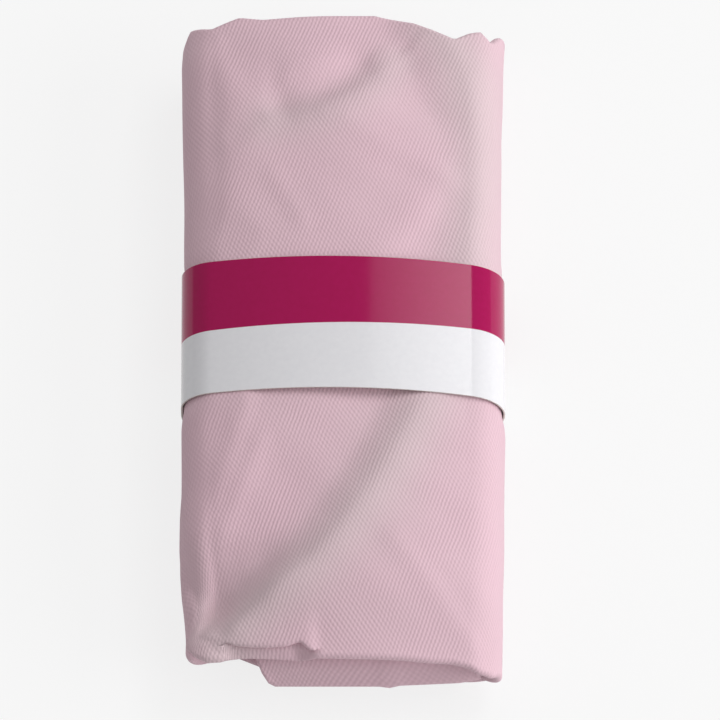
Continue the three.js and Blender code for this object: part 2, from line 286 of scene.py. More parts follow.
def front_relief(x, y):
    """Height of the front's folds over its plain outline, in mm."""
    lower = rise(y, 2, -24)
    top = rise(y, 44, 54)
    corner = rise(x, -8, -18) * rise(y, -45, -53)

    # on the left of the hem the front falls over the width of the bank, and then comes up again
    bank = 8.0 + 3.0 * top
    into_bank = (from_line(x, y, hem_line) + 1.0 - 1.5 * rise(y, -40, -50)) / bank
    past_bank = np.exp(-((np.minimum(into_bank + 1.0, 0.0) * bank / (15.0 + 5.0 * corner)) ** 2))
    runs_out = rise(y, -71, -63)  # the bank ends before the lower left corner
    bank_depth = (0.75 + 0.95 * lower + 1.1 * top + 1.7 * corner) * runs_out
    height = -0.5 - bank_depth * (1 - rise(into_bank, -1, 0)) * past_bank
    height = height + 0.42 * ridge(x, y, hem_line, 2.6, 4.5)
    height = height - 2.3 * rise(x, -13, -27) * np.exp(-(((y + 60.5) / 5.5) ** 2))

    # a pocket near the upper end: its rounded edge and the crease over it
    height = height + 0.5 * ridge(x, y, pocket_line, 2.8, 9.0) * rise(y, 36, 48)
    height = height - (0.5 + 0.9 * rise(x, -18, -12)) * ridge(x, y, pocket_crease, 5.0, 3.8)
    pocket_edge = rise(x, -15, -7) * rise(x, 22, -4)
    height = height + 0.9 * pocket_edge * np.exp(-(((y - 51.0) / 4.0) ** 2))

    height = height + (0.45 + 0.4 * rise(y, 5, 20)) * ridge(x, y, shoulder_line, 8.0, 4.0)
    for fold_height, left, right, points in small_folds:
        height = height + fold_height * ridge(x, y, points, left, right)
    for dent_height, centre_x, centre_y, wide, long in dents:
        height = height + dent_height * spot(x, y, centre_x, centre_y, wide, long)

    height = height + 0.6 * ridge(x, y, lip_line, 5.0, 1.2) * tuck_share(x)
    past_lip = rise(from_line(x, y, lip_line), 0, 2.6)
    height = height - lip_drop * past_lip * np.interp(x, (-31, -14), (0, 1)) * lip_end(x)
    sway = np.sin(0.115 * y + 0.09 * x + 0.6) + 0.7 * np.sin(0.21 * y - 0.13 * x + 2.1)
    return height + 0.07 * sway + 0.05 * np.sin(0.41 * y + 0.33 * x + 4.0)


crown_columns = 73  # points across half the crown
crown_even = 1.2  # powers that set points closer to the folds
flap_even = 1.5
brim_inset = 1.1  # from the end fold in to the brim's own fold
tuck_room = 6.0  # the brim's fold keeps this much further in, under the tuck
lip_inset = 0.8  # the lip stays at least this far inside the end fold


def half_section(end, pinch, hem, tuck):
    """One half of the cloth across the strip, a row for each station: from the middle of the crown out
    to the fold, in along the folded-in end to the slit, and back to the hem. Places across and depths.
    tuck is each row's share of the tuck under the lip."""
    end, pinch, hem, tuck = end[:, None], pinch[:, None], hem[:, None], tuck[:, None]
    reach = flap_crown_depth - crown_depth
    tuck_depth = tuck_gap * tuck * rise(tuck, 0, tuck_formed)
    fold = (pinch * reach - tuck_depth) / 2
    fold_start = end - fold
    slit_radius = (flap_crown_depth - flap_brim_depth) / 2
    brim_fold = pinch * (flap_brim_depth - brim_depth) / 2
    brim_end = fold_start - brim_inset - tuck_room * rise(tuck, 0, 0.6)

    def sunk(across, depth):
        share = pinch + (1 - pinch) * np.clip((end - across) / end_run, 0.0, 1.0)
        return across, crown_depth + (depth - crown_depth) * share

    steps = np.linspace(0.0, 1.0, crown_columns - tuck_columns + 1)[None, :-1]
    lip = layer_shift - np.interp(station_x, *np.transpose(lip_line))[:, None]
    lip = np.minimum(lip, fold_start - lip_inset)
    to_lip = lip * (1 - (1 - steps) ** crown_even)
    crown_across = np.hstack([to_lip, np.zeros((len(end), tuck_columns))])
    crown_under = crown_depth + 0.0 * crown_across
    for row in range(len(end)):
        last, under = tucked(lip[row, 0], fold_start[row, 0], tuck[row, 0])
        crown_across[row, -tuck_columns:] = last
        crown_under[row, -tuck_columns:] += under
    parts = [(crown_across, crown_under)]

    turn = np.linspace(0.0, math.pi, 9)[None, 1:-1]
    fold_depth = crown_depth + tuck_depth + fold * (1 - np.cos(turn))
    parts.append((fold_start + fold * np.sin(turn), fold_depth))

    inwards = np.linspace(0.0, 1.0, 14)[None, :] ** flap_even
    slit_start = slit_half + slit_radius
    parts.append(sunk(fold_start + (slit_start - fold_start) * inwards, flap_crown_depth))

    turn = np.linspace(0.0, math.pi, 6)[None, 1:-1]
    slit_depth = (flap_crown_depth + flap_brim_depth) / 2 + slit_radius * np.cos(turn)
    parts.append((slit_start - slit_radius * np.sin(turn) + 0.0 * end, slit_depth + 0.0 * end))

    outwards = 1 - np.linspace(1.0, 0.0, 10)[None, :] ** flap_even
    parts.append(sunk(slit_start + (brim_end - slit_start) * outwards, flap_brim_depth))

    turn = np.linspace(0.0, math.pi, 5)[None, 1:-1]
    brim_middle = crown_depth + pinch * ((flap_brim_depth + brim_depth) / 2 - crown_depth)
    parts.append((brim_end + brim_fold * np.sin(turn), brim_middle + brim_fold * np.cos(turn)))

    inwards = np.linspace(0.0, 1.0, 8)[None, :]
    parts.append(sunk(brim_end + (hem - brim_end) * inwards, brim_depth))

    rows = len(end)
    across = np.hstack([np.broadcast_to(part[0], (rows, np.shape(part[0])[1])) for part in parts])
    depth = np.hstack([np.broadcast_to(part[1], (rows, np.shape(part[1])[1])) for part in parts])
    return across, depth


def along_run(k, spacing):
    """Evenly spaced stations along one run of the roll, without its first point."""
    start = 0.0 if k == 0 else run_ends[k - 1]
    count = int(round((run_ends[k] - start) / spacing))
    return np.linspace(start, run_ends[k], count + 1)[1:]


# stations along the strip, closer together at its two ends, where the plies close to a rounded edge
nose_length = 2.4
nose_rows = nose_length * (1 - np.cos(np.linspace(0.0, math.pi / 2, 5)))
plain_rows = [along_run(k, spacing) for k, spacing in enumerate(row_spacing)]
stations = np.concatenate([nose_rows, *plain_rows, roll_length[-1] - nose_rows])
stations = np.unique(np.round(stations, 6))
stations = stations[np.concatenate([[True], np.diff(stations) > 0.02])]
station_x, _, _, out_z, inner_share = on_roll(stations)

# rows of points across the strip, from the hem on its lower half to the hem on its upper half
outer_pinch = 0.38  # the plies close up to this share at the ends of the outer layers
inner_pinch = 0.55
from_hem = np.abs(stations - hem_centre)
hem_across = np.sqrt(np.maximum(hem_radius**2 - from_hem**2, 0.0))
share = curl_share(stations)
stagger = layer_shift * (1 - 2 * inner_share)
top_end = end_of(stations, top_back, top_front, top_under, top_core) - stagger
bottom_end = end_of(stations, bottom_back, bottom_front, bottom_under, bottom_core) + stagger
curl_end = curl_start + curl_radius * curl_angle + curl_tail + curl_nose
bottom_end = bottom_end + (curl_end - bottom_end) * share
pinch = outer_pinch * (1 - inner_share) + inner_pinch * inner_share
on_front = (stations > side_middle) & (stations < spine_middle)
low_tuck = np.where(on_front, tuck_share(station_x), 0.0)
top_across, top_depth = half_section(top_end, pinch, hem_across, 0.0 * low_tuck)
low_across, low_depth = half_section(bottom_end, pinch, hem_across, low_tuck)
low_across, low_depth = curled(-low_across, low_depth, share[:, None])
across = np.hstack([low_across[:, :0:-1], top_across])
flat_depth = np.hstack([low_depth[:, :0:-1], top_depth])

to_end = np.minimum(stations, roll_length[-1] - stations) / nose_length
nose = np.sqrt(np.maximum(1 - (1 - np.clip(to_end, 0, 1)) ** 2, 0.0))[:, None]
middle_depth = (crown_depth + flap_crown_depth) / 2
closed_depth = middle_depth + (flat_depth - middle_depth) * nose
depth = np.where(flat_depth < curl_radius, closed_depth, flat_depth)

# the face of the innermost layer's lower fold: (x, how far it stands back), with one pinched crease
fold_face = [
    (-33, 0), (8.6, 0), (10.2, -0.5), (11.6, 0.2), (16, 0.4), (24, 0.8), (28, 1.5), (31, 2.0),
]

# how far the two sides swell past the sleeve's hold: (y, mm)
left_swell = [
    (-74, -1.7), (-70, -1.5), (-67, -1.1), (-64, -0.4), (-58, 0.9), (-52, 1.6), (-47, 1.6), (-40, 1.2),
    (-35, 0.6), (-20, 0.7), (-15, 0.0), (15, 0.0), (25, 0.1), (36, 0.25), (44, 0.6), (54, 1.1),
    (64, 1.3), (72, 0.6),
]
right_swell = [
    (-74, -0.5), (-66, -0.4), (-55, -0.2), (-40, 0.0), (-28, 0.2), (-20, 0.4), (-15, 0.0), (15, 0.0),
    (20, -0.4), (48, -0.35), (56, 0.0), (66, 0.4), (72, 0.7),
]
held_half = 15.0  # half the length that the sleeve holds
corner_flatness = 0.85  # share of the left side's rounding that the lower left corner loses


def laid(length, across, depth):
    """Points of the folded cap, with the front's sinking and relief, from a place along the strip,
    a place across it and a depth under the roll's outer face."""
    x, z, out_x, out_z, inner = on_roll(length)
    y = across + layer_shift * (1 - 2 * inner)
    wrap = 1 - inner
    from_middle = np.abs(y)

    # the relief stays low under the sleeve, and the cloth swells a little on both sides of it
    front = rise(out_z, -0.35, 0.25) * wrap
    loose = rise(from_middle, held_half, held_half + 3)
    sway = np.sin(0.13 * y + 1.0) + 0.6 * np.sin(0.31 * y + 0.05 * length)
    relief = wrap * (0.12 + 0.46 * loose) + front * front_relief(x, y) + 0.06 * loose * sway
    most = 0.24 + 0.36 * loose + 0.4 * rise(from_middle, held_half + 5, held_half + 13)
    relief = np.minimum(relief, most)
    relief = relief + wrap * rise(out_x, 0, -0.8) * np.interp(y, *np.transpose(left_swell))
    relief = relief + wrap * rise(out_x, 0, 0.8) * np.interp(y, *np.transpose(right_swell))
    lift = relief * (1 - 0.75 * np.clip(depth / flap_crown_depth, 0, 1))

    # the layers sink towards the bundle's ends, and the lower left corner lies flatter than its side
    sink = end_sink * rise(from_middle, end_start, end_start + end_run)
    sink = sink * (z - back_height) / (crown[1] + crown_radius - back_height)
    corner = wrap * rise(y, -55, -63) * rise(out_x, 0, -0.3)
    flatter = corner_flatness * corner * spine_radius * (1 - np.abs(out_z))

    # at the lower end the inner layers spread to the right
    spread = 11.5 * rise(x, -8, 17) - 3.5 * rise(x, core_x, core_x + core_radius)
    point_x = x + out_x * (lift - depth) + inner * rise(y, -52, -70) * spread
    point_y = y + inner * rise(y, -60, -70) * np.interp(point_x, *np.transpose(fold_face))
    point_z = z + out_z * (lift - depth) - sink + flatter
    return np.stack([point_x, point_y, point_z], axis=-1)


points = laid(stations[:, None], across, depth)


def grid_mesh(name, points, cut, closed=False, joined=None):
    """A mesh of four-sided faces over rows of points in mm, and the indices of the points in use. cut
    gives each point's place on the flat cut in mm, closed joins the last row to the first, and joined
    marks rows whose ends are one point."""
    rows, columns = points.shape[:2]
    index = np.arange(rows * columns).reshape(rows, columns)
    if joined is not None:
        index[joined, -1] = index[joined, 0]
    here, ahead = (index, np.roll(index, -1, axis=0)) if closed else (index[:-1], index[1:])
    faces = np.stack([here[:, :-1], here[:, 1:], ahead[:, 1:], ahead[:, :-1]], axis=-1).reshape(-1, 4)
    used, faces = np.unique(faces, return_inverse=True)
    faces = faces.reshape(-1, 4)
    mesh = bpy.data.meshes.new(name)
    mesh.from_pydata((points.reshape(-1, 3)[used] * mm).tolist(), [], faces.tolist())
    mesh.polygons.foreach_set("use_smooth", np.ones(len(faces), bool))
    here, ahead = (cut, np.roll(cut, -1, axis=0)) if closed else (cut[:-1], cut[1:])
    corners = np.stack([here[:, :-1], here[:, 1:], ahead[:, 1:], ahead[:, :-1]], axis=2)
    layer = mesh.uv_layers.new(name="cut")
    layer.data.foreach_set("uv", (corners * mm).reshape(-1).astype(np.float32))
    mesh.update()
    piece = bpy.data.objects.new(name, mesh)
    bpy.context.scene.collection.objects.link(piece)
    return piece, used


def unfolded(stations, across, depth):
    """Each point's place on the flat cloth: along the strip, and across it from the crown's middle."""
    steps = np.hypot(np.diff(across, axis=1), np.diff(depth, axis=1))
    run = np.concatenate([np.zeros((len(stations), 1)), np.cumsum(steps, axis=1)], axis=1)
    middle = across.shape[1] // 2
    run = run - run[:, middle : middle + 1]
    return np.stack([np.broadcast_to(stations[:, None], run.shape), run], axis=-1)


joined_rows = hem_across < 0.01
cut = unfolded(stations, across, flat_depth)
cloth, cloth_used = grid_mesh("cap_cloth_folded", points, cut, joined=joined_rows)

# painted sheen and shade: the raised hem line, the pocket's edge and the lower left corner are tinted a
# paler grey that stands in for sheen on the lit flanks of these folds and grey shade on their dark flanks;
# this marks them
flat_x = np.broadcast_to(station_x[:, None], across.shape)
flat_y = across + stagger[:, None]
front_part = (rise(out_z, -0.2, 0.3) * (1 - inner_share))[:, None]
painted_sheen_and_shade = ridge(flat_x, flat_y, hem_line, 7.0, 7.0)
painted_sheen_and_shade = np.maximum(painted_sheen_and_shade, 0.7 * ridge(flat_x, flat_y, pocket_line, 5.0, 6.0))
painted_sheen_and_shade = np.maximum(painted_sheen_and_shade, spot(flat_x, flat_y, -29.0, -67.0, 11.0, 8.0))
mark = cloth.data.attributes.new("painted_sheen_and_shade", "FLOAT", "POINT")
mark.data.foreach_set("value", (front_part * painted_sheen_and_shade).reshape(-1)[cloth_used].astype(np.float32))


def finish_mesh(piece, modifiers):
    """Adds the modifiers to the piece and applies them in order."""
    bpy.ops.object.select_all(action="DESELECT")
    bpy.context.view_layer.objects.active = piece
    piece.select_set(True)
    for kind, settings in modifiers:
        modifier = piece.modifiers.new(kind.title(), kind)
        for key, value in settings.items():
            setattr(modifier, key, value)
        bpy.ops.object.modifier_apply(modifier=modifier.name)


def thicken(piece, thickness):
    """Gives a sheet its thickness in mm, half on each side."""
    finish_mesh(piece, [("SOLIDIFY", {"thickness": thickness * mm, "offset": 0.0})])


thicken(cloth, fabric_thickness)


def linear(red, green, blue):
    """An eight-bit colour as the shader takes it."""
    parts = [c / 255 for c in (red, green, blue)]
    parts = [c / 12.92 if c <= 0.04045 else ((c + 0.055) / 1.055) ** 2.4 for c in parts]
    return (*parts, 1.0)


def new_finish(name):
    """A new material, with its nodes and its shader."""
    finish = bpy.data.materials.new(name)
    finish.use_nodes = True
    return finish, finish.node_tree, finish.node_tree.nodes["Principled BSDF"]


def feed(tree, socket, value):
    """Sets a node's socket to a value, or links it to another node's output."""
    if isinstance(value, bpy.types.NodeSocket):
        tree.links.new(value, socket)
    else:
        socket.default_value = value


def put(tree, kind, settings=None, **inputs):
    """A new node. Inputs have _ for a space in their names, or are named i0, i1 and so on by place."""
    node = tree.nodes.new(kind)
    for key, value in (settings or {}).items():
        setattr(node, key, value)
    for key, value in inputs.items():
        by_place = key[0] == "i" and key[1:].isdigit()
        feed(tree, node.inputs[int(key[1:]) if by_place else key.replace("_", " ")], value)
    return node


def maths(tree, operation, *values):
    """The result of one Math node."""
    inputs = {f"i{k}": value for k, value in enumerate(values)}
    return put(tree, "ShaderNodeMath", {"operation": operation}, **inputs).outputs[0]


def spread_over(tree, value, low, high, to_low, to_high):
    """The value's range from low to high, spread over another range."""
    inputs = {"From_Min": low, "From_Max": high, "To_Min": to_low, "To_Max": to_high}
    return put(tree, "ShaderNodeMapRange", Value=value, **inputs).outputs[0]


def blended(tree, share, first, second):
    """A colour between two others."""
    node = put(tree, "ShaderNodeMix", {"data_type": "RGBA", "clamp_factor": True})
    for place, value in ((0, share), (6, first), (7, second)):
        feed(tree, node.inputs[place], value)
    return node.outputs[2]


def noise(tree, place, scale, detail):
    """Soft noise round 0.5, with about scale waves to the metre."""
    return put(tree, "ShaderNodeTexNoise", Vector=place, Scale=scale, Detail=detail).outputs[0]


def emboss(tree, shader, height, strength, distance):
    """A fine bump from a height, with its distance in mm."""
    bump = put(tree, "ShaderNodeBump", Strength=strength, Distance=distance * mm, Height=height)
    tree.links.new(bump.outputs[0], shader.inputs["Normal"])


def on_cut(tree):
    """A point's place on the flat cut."""
    return put(tree, "ShaderNodeUVMap", {"uv_map": "cut"}).outputs[0]


def parts_of(tree, place):
    """The first two parts of a place: along and across on a flat cut, x and y in the frame."""
    parts = put(tree, "ShaderNodeSeparateXYZ", Vector=place)
    return parts.outputs[0], parts.outputs[1]


def twill_wave(tree, along, across, slope, pitch):
    """Height of one set of slanted weave lines, 0 to 1. slope is the lines' angle from the strip's
    length in degrees, and pitch their spacing in mm."""
    turn = 2 * math.pi / (pitch * mm)
    first = maths(tree, "MULTIPLY", along, turn * math.sin(math.radians(slope)))
    second = maths(tree, "MULTIPLY", across, turn * math.cos(math.radians(slope)))
    wave = maths(tree, "SINE", maths(tree, "ADD", first, second))
    return maths(tree, "MULTIPLY_ADD", wave, 0.5, 0.5)


rib_slope, rib_pitch = 70.8, 0.77  # the two sets of weave lines
float_slope, float_pitch = -52, 0.8


def twill_finish(name, base, hollow_shade, mottle_and_sheen_grey):
    """Matt twill with two sets of weave lines that show by turns. The second colour is painted between the
    threads as shade in the weave's hollows; the third, a paler grey, is taken at random in soft clouds
    and, as painted sheen and shade, where the cloth is marked."""
    finish, tree, shader = new_finish(name)
    place = on_cut(tree)
    along, across = parts_of(tree, place)
    shift = maths(tree, "MULTIPLY_ADD", noise(tree, place, 260.0, 1.0), 0.3 * mm, -0.15 * mm)
    along = maths(tree, "ADD", along, shift)
    across = maths(tree, "ADD", across, shift)
    ribs = twill_wave(tree, along, across, rib_slope, rib_pitch)
    floats = twill_wave(tree, along, across, float_slope, float_pitch)
    patches = spread_over(tree, noise(tree, place, 55.0, 2.0), 0.35, 0.65, 0.22, 0.58)
    mixed = put(tree, "ShaderNodeMix", {"data_type": "FLOAT"}, i0=patches, i2=ribs, i3=floats)
    weave = mixed.outputs[0]
    threads = noise(tree, place, 2600.0, 1.0)
    emboss(tree, shader, maths(tree, "MULTIPLY_ADD", threads, 0.25, weave), 0.58, 0.12)
    # painted shade: the colour darkens towards the weave's hollows
    hollows = maths(tree, "SUBTRACT", 1.0, weave)
    colour = blended(tree, maths(tree, "MULTIPLY", hollows, 0.26), base, hollow_shade)
    clouds = spread_over(tree, noise(tree, place, 28.0, 3.0), 0.3, 0.7, 0.0, 0.14)
    colour = blended(tree, clouds, colour, mottle_and_sheen_grey)
    # painted sheen and shade: the marked folds are tinted towards the paler grey
    sheen_shade_node = put(tree, "ShaderNodeAttribute", {"attribute_name": "painted_sheen_and_shade"})
    colour = blended(tree, maths(tree, "MULTIPLY", sheen_shade_node.outputs["Fac"], 0.42), colour, mottle_and_sheen_grey)
    feed(tree, shader.inputs["Base Color"], colour)
    feed(tree, shader.inputs["Roughness"], spread_over(tree, weave, 0.0, 1.0, 0.86, 0.7))
    shader.inputs["Specular IOR Level"].default_value = 0.3
    shader.inputs["Sheen Weight"].default_value = 0.25
    shader.inputs["Sheen Roughness"].default_value = 0.45
    shader.inputs["Sheen Tint"].default_value = linear(255, 240, 244)
    return finish


# pink, a darker pink painted as shade in the weave's hollows, and a paler grey for random clouds and for
# painted sheen and shade on the marked folds
twill = twill_finish("pink_twill", linear(233, 197, 209), linear(192, 153, 167), linear(214, 203, 202))
cloth.data.materials.append(twill)
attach(cloth, "cap")
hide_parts("cap_cloth")

# Lining
# A thin white film that keeps the water out lies against the cloth's inner side, cut as the cloth is
# and sewn into the same hem.
film_thickness = 0.04
film_offset = 0.2  # between the middles of the cloth and the film
step_across, step_depth = np.gradient(across, axis=1), np.gradient(depth, axis=1)
step = np.maximum(np.hypot(step_across, step_depth), 1e-9)
film_across = across - film_offset * nose * step_depth / step
film_depth = depth + film_offset * nose * step_across / step
film_points = laid(stations[:, None], film_across, film_depth)
film, _ = grid_mesh("cap_lining_film", film_points, cut, joined=joined_rows)
thicken(film, film_thickness)


def film_finish(name, dark, pale):
    """Soft plastic film, finely creased."""
    finish, tree, shader = new_finish(name)
    creases = noise(tree, on_cut(tree), 420.0, 4.0)
    emboss(tree, shader, creases, 0.25, 0.2)
    feed(tree, shader.inputs["Base Color"], blended(tree, creases, dark, pale))
    shader.inputs["Roughness"].default_value = 0.38
    return finish


film.data.materials.append(film_finish("white_film", linear(222, 218, 216), linear(240, 237, 235)))
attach(film, "cap")
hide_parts("cap_lining")

# Hem binding
# A tape of the cap's cloth, folded round the edges of cloth and lining and gathered by the elastic that
# runs in its closed side.
hem_depth = 2.0
binding_half = 0.9
binding_wall = 0.2
hem_tuck = 1.5  # how far the tape reaches back over the cloth
binding_edge = 6.5  # its closed side, inwards from the cloth's edge
hem_turns = 300
gathers = 110
gather_reach = 0.25  # how far the gathers push the closed side
gather_flat = 0.22  # how much they flatten the tape
gathered_length = 1.3  # the tape's own length over the hem's


def round_hem(turn, inwards, deeper):
    """Points round the hem: inwards over the opening, and deeper into the layer."""
    radius = hem_radius - inwards
    return laid(hem_centre - radius * np.cos(turn), radius * np.sin(turn), hem_depth + deeper + 0.0 * turn)


def ring_turns(count):
    """Angles round the hem, a row for each."""
    return np.linspace(0.0, 2 * math.pi, count, endpoint=False)[:, None]


def ring_cut(long, wide, rows, columns):
    """The flat cut of a band: a row for each turn and a column for each point of its profile."""
    sides = np.linspace(0.0, long, rows), np.linspace(0.0, wide, columns)
    return np.stack(np.meshgrid(*sides, indexing="ij"), axis=-1)


flat_end = binding_edge - binding_half
outer_face = [(x, -binding_half) for x in np.linspace(-hem_tuck, flat_end, 6)]
inner_face = [(x, binding_half) for x in np.linspace(flat_end, -hem_tuck, 6)]
closed_side = []
for angle in np.linspace(-math.pi / 2, math.pi / 2, 7)[1:-1]:
    closed_side.append((flat_end + binding_half * math.cos(angle), binding_half * math.sin(angle)))
inwards, deeper = np.array(outer_face + closed_side + inner_face).T[:, None, :]
turn = ring_turns(hem_turns)
swell = 0.5 + 0.5 * np.sin(gathers * turn + 1.3 * np.sin(3 * turn) + 0.8 * np.sin(7 * turn))
to_open_edge = (binding_edge - inwards) / (binding_edge + hem_tuck)
pushed = inwards + gather_reach * swell * (1 - to_open_edge)
flattened = deeper * (1 - gather_flat * swell * (0.4 + 0.6 * to_open_edge))
tape_long = 2 * math.pi * hem_radius * gathered_length
tape_cut = ring_cut(tape_long, 2 * (binding_edge + hem_tuck), hem_turns, inwards.size)
binding_points = round_hem(turn, pushed, flattened)
binding, _ = grid_mesh("hem_binding_gathered", binding_points, tape_cut, closed=True)
thicken(binding, binding_wall)
binding.data.materials.append(twill)
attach(binding, "cap")
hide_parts("hem_binding")

# Elastic
# A flat knitted band, 5 mm wide, made of rubber cords in white yarn. It lies loose in the closed side
# of the binding and draws the hem in.
elastic_wide = 5.0
elastic_half = 0.26
elastic_start = 1.15
cord_pitch = 0.7
stitch_pitch = 0.9
angle = np.linspace(2 * math.pi, 0.0, 17)[None, :]
wide_share = np.sign(np.cos(angle)) * np.sqrt(np.abs(np.cos(angle)))
thick_share = np.sign(np.sin(angle)) * np.sqrt(np.abs(np.sin(angle)))
inwards = elastic_start + elastic_wide / 2 * (1 + wide_share)
elastic_points = round_hem(turn, inwards, elastic_half * thick_share)
band_cut = ring_cut(2 * math.pi * hem_radius, 2 * elastic_wide, hem_turns, angle.size)
whole_ring = np.ones(hem_turns, bool)
elastic, _ = grid_mesh("elastic_band_knit", elastic_points, band_cut, closed=True, joined=whole_ring)


def stripes(tree, value, pitch):
    """Waves from -1 to 1 with their pitch in mm."""
    return maths(tree, "SINE", maths(tree, "MULTIPLY", value, 2 * math.pi / (pitch * mm)))


def knit_finish(name, dark, pale):
    """Knitted band: cords along it, crossed by rows of stitches."""
    finish, tree, shader = new_finish(name)
    along, across = parts_of(tree, on_cut(tree))
    cords = stripes(tree, across, cord_pitch)
    knit = maths(tree, "MULTIPLY_ADD", stripes(tree, along, stitch_pitch), 0.4, cords)
    emboss(tree, shader, knit, 0.6, 0.15)
    knit_share = maths(tree, "MULTIPLY_ADD", knit, 0.35, 0.5)
    feed(tree, shader.inputs["Base Color"], blended(tree, knit_share, dark, pale))
    shader.inputs["Roughness"].default_value = 0.7
    return finish


elastic.data.materials.append(knit_finish("white_elastic", linear(205, 202, 200), linear(240, 238, 236)))
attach(elastic, "cap")
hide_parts("elastic_band")

# Hem stitching
# A lockstitch in pink thread holds the binding: the needle thread on its outer face and the bobbin
# thread on its inner one, each going down into the cloth at every stitch.
stitch_length = 2.6
stitch_points = 8
stitch_dip = 0.22
thread_radius = 0.1
thread_depth = binding_half + 0.15 + thread_radius  # from the binding's middle to the thread's
thread_lay = 1.4  # slope of the thread's plies
ply_pitch = 0.35


def thread_finish(name, dark, pale):
    """Twisted thread: its plies run round it aslant."""
    finish, tree, shader = new_finish(name)
    along, across = parts_of(tree, on_cut(tree))
    plies = stripes(tree, maths(tree, "MULTIPLY_ADD", across, thread_lay, along), ply_pitch)
    emboss(tree, shader, plies, 0.6, 0.04)
    ply_share = maths(tree, "MULTIPLY_ADD", plies, 0.5, 0.5)
    feed(tree, shader.inputs["Base Color"], blended(tree, ply_share, dark, pale))
    shader.inputs["Roughness"].default_value = 0.5
    return finish


def stitched_thread(name, node, face):
    """A thread round the hem on one face of the binding, -1 for the outer and 1 for the inner one."""
    stitches = int(round(2 * math.pi * hem_radius / stitch_length))
    turn = ring_turns(stitches * stitch_points)
    dip = stitch_dip * np.exp(-((np.sin(stitches * turn / 2) / 0.35) ** 2))
    side_turn = np.linspace(2 * math.pi, 0.0, 7)[None, :]
    inwards = -hem_tuck / 2 + thread_radius * np.cos(side_turn) + 0.0 * turn
    deeper = face * (thread_depth - dip) + thread_radius * np.sin(side_turn)
    along, across = np.broadcast_arrays(turn * hem_radius, side_turn * thread_radius)
    thread_cut = np.stack([along, across], axis=-1)
    whole_ring = np.ones(len(turn), bool)
    thread_points = round_hem(turn, inwards, deeper)
    thread, _ = grid_mesh(name, thread_points, thread_cut, closed=True, joined=whole_ring)
    thread.data.materials.append(pink_thread)
    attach(thread, "cap")
    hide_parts(node)
    return thread


pink_thread = thread_finish("pink_thread", linear(196, 152, 168), linear(234, 198, 211))
needle_thread = stitched_thread("needle_thread_stitches", "needle_thread", -1)
bobbin_thread = stitched_thread("bobbin_thread_stitches", "bobbin_thread", 1)

# Card sleeve
# A strip of glossy printed card wrapped round the bundle, crimson over white, its two ends lapped and
# taped on the back. The board shows white on its cut edges and inside.
sleeve_height = 30.0
sleeve_clearance = 0.3
card_thickness = 0.35
card_bevel = 0.05
lap_stack = 1.15
lap_half = 7.0
lap_ramp = 4.0
print_line = -0.2  # where crimson meets white at the middle, along the length
print_slope = 0.021  # the print lies a little askew on the card: its rise to the right
print_edge = 0.05  # half the width over which the two colours meet
grown = sleeve_clearance + card_thickness


def sleeve_path():
    """The card's outer face across the bundle, from the lap's inner end round to its outer end."""
    lap_top = lap_stack - card_thickness
    path = [(x, lap_top) for x in np.linspace(-lap_half, lap_half, 4)]
    for t in np.linspace(0.0, 1.0, 7)[1:]:
        path.append((lap_half + lap_ramp * t, lap_top * (1 - rise(t, 0, 1))))

    def arc(centre, across_radius, up_radius, start, stop, step):
        for angle in np.linspace(start, stop, int(math.ceil((stop - start) / step)) + 1)[1:]:
            x = centre[0] + across_radius * math.cos(angle)
            path.append((x, centre[1] + up_radius * math.sin(angle)))

    path.append((side[0], 0.0))
    side_reach = side_radius + grown
    tight, wide = math.radians(4), math.radians(1)
    arc(side, side_reach, side_radius + back_height, -math.pi / 2, 0, tight)
    arc(side, side_reach, side_reach, 0, side_end, tight)
    arc(crown, crown_radius + grown, crown_radius + grown, side_end, spine_start, wide)
    arc(spine, spine_radius + grown, spine_radius + grown, spine_start, math.pi, tight)
    path.append((-side[0] - side_reach, side[1]))
    arc((-side[0], side[1]), side_reach, side_radius + back_height, math.pi, 1.5 * math.pi, tight)
    path += [(x, 0.0) for x in np.linspace(-side[0], lap_half, 5)[1:]]
    return np.array(path)


# the card starts as the lap's first strip, whose far edge is drawn out along the path
path = sleeve_path()
bpy.ops.object.select_all(action="DESELECT")
bpy.ops.mesh.primitive_plane_add(size=1.0)
card = bpy.context.object
card.name = "sleeve_card_wrap"
for vertex in card.data.vertices:
    at = path[1] if vertex.co.x > 0 else path[0]
    vertex.co = (at[0] * mm, math.copysign(sleeve_height / 2, vertex.co.y) * mm, at[1] * mm)
bpy.ops.object.mode_set(mode="EDIT")
bpy.ops.mesh.select_mode(type="EDGE")
bpy.ops.mesh.select_all(action="DESELECT")
bpy.ops.object.mode_set(mode="OBJECT")
for edge in card.data.edges:
    ends = [card.data.vertices[v].co for v in edge.vertices]
    edge.select = all(abs(end.x - path[1][0] * mm) < 1e-6 for end in ends)
bpy.ops.object.mode_set(mode="EDIT")
for across_step, up_step in np.diff(path[1:], axis=0) * mm:
    bpy.ops.mesh.extrude_region_move(TRANSFORM_OT_translate={"value": (across_step, 0.0, up_step)})
bpy.ops.mesh.select_all(action="SELECT")
bpy.ops.mesh.normals_make_consistent(inside=False)
bpy.ops.object.mode_set(mode="OBJECT")
highest = max(card.data.polygons, key=lambda face: face.center.z)
if highest.normal.z < 0:
    bpy.ops.object.mode_set(mode="EDIT")
    bpy.ops.mesh.flip_normals()
    bpy.ops.object.mode_set(mode="OBJECT")


def on_object(tree):
    """A point's place in the frame."""
    return put(tree, "ShaderNodeTexCoord").outputs["Object"]


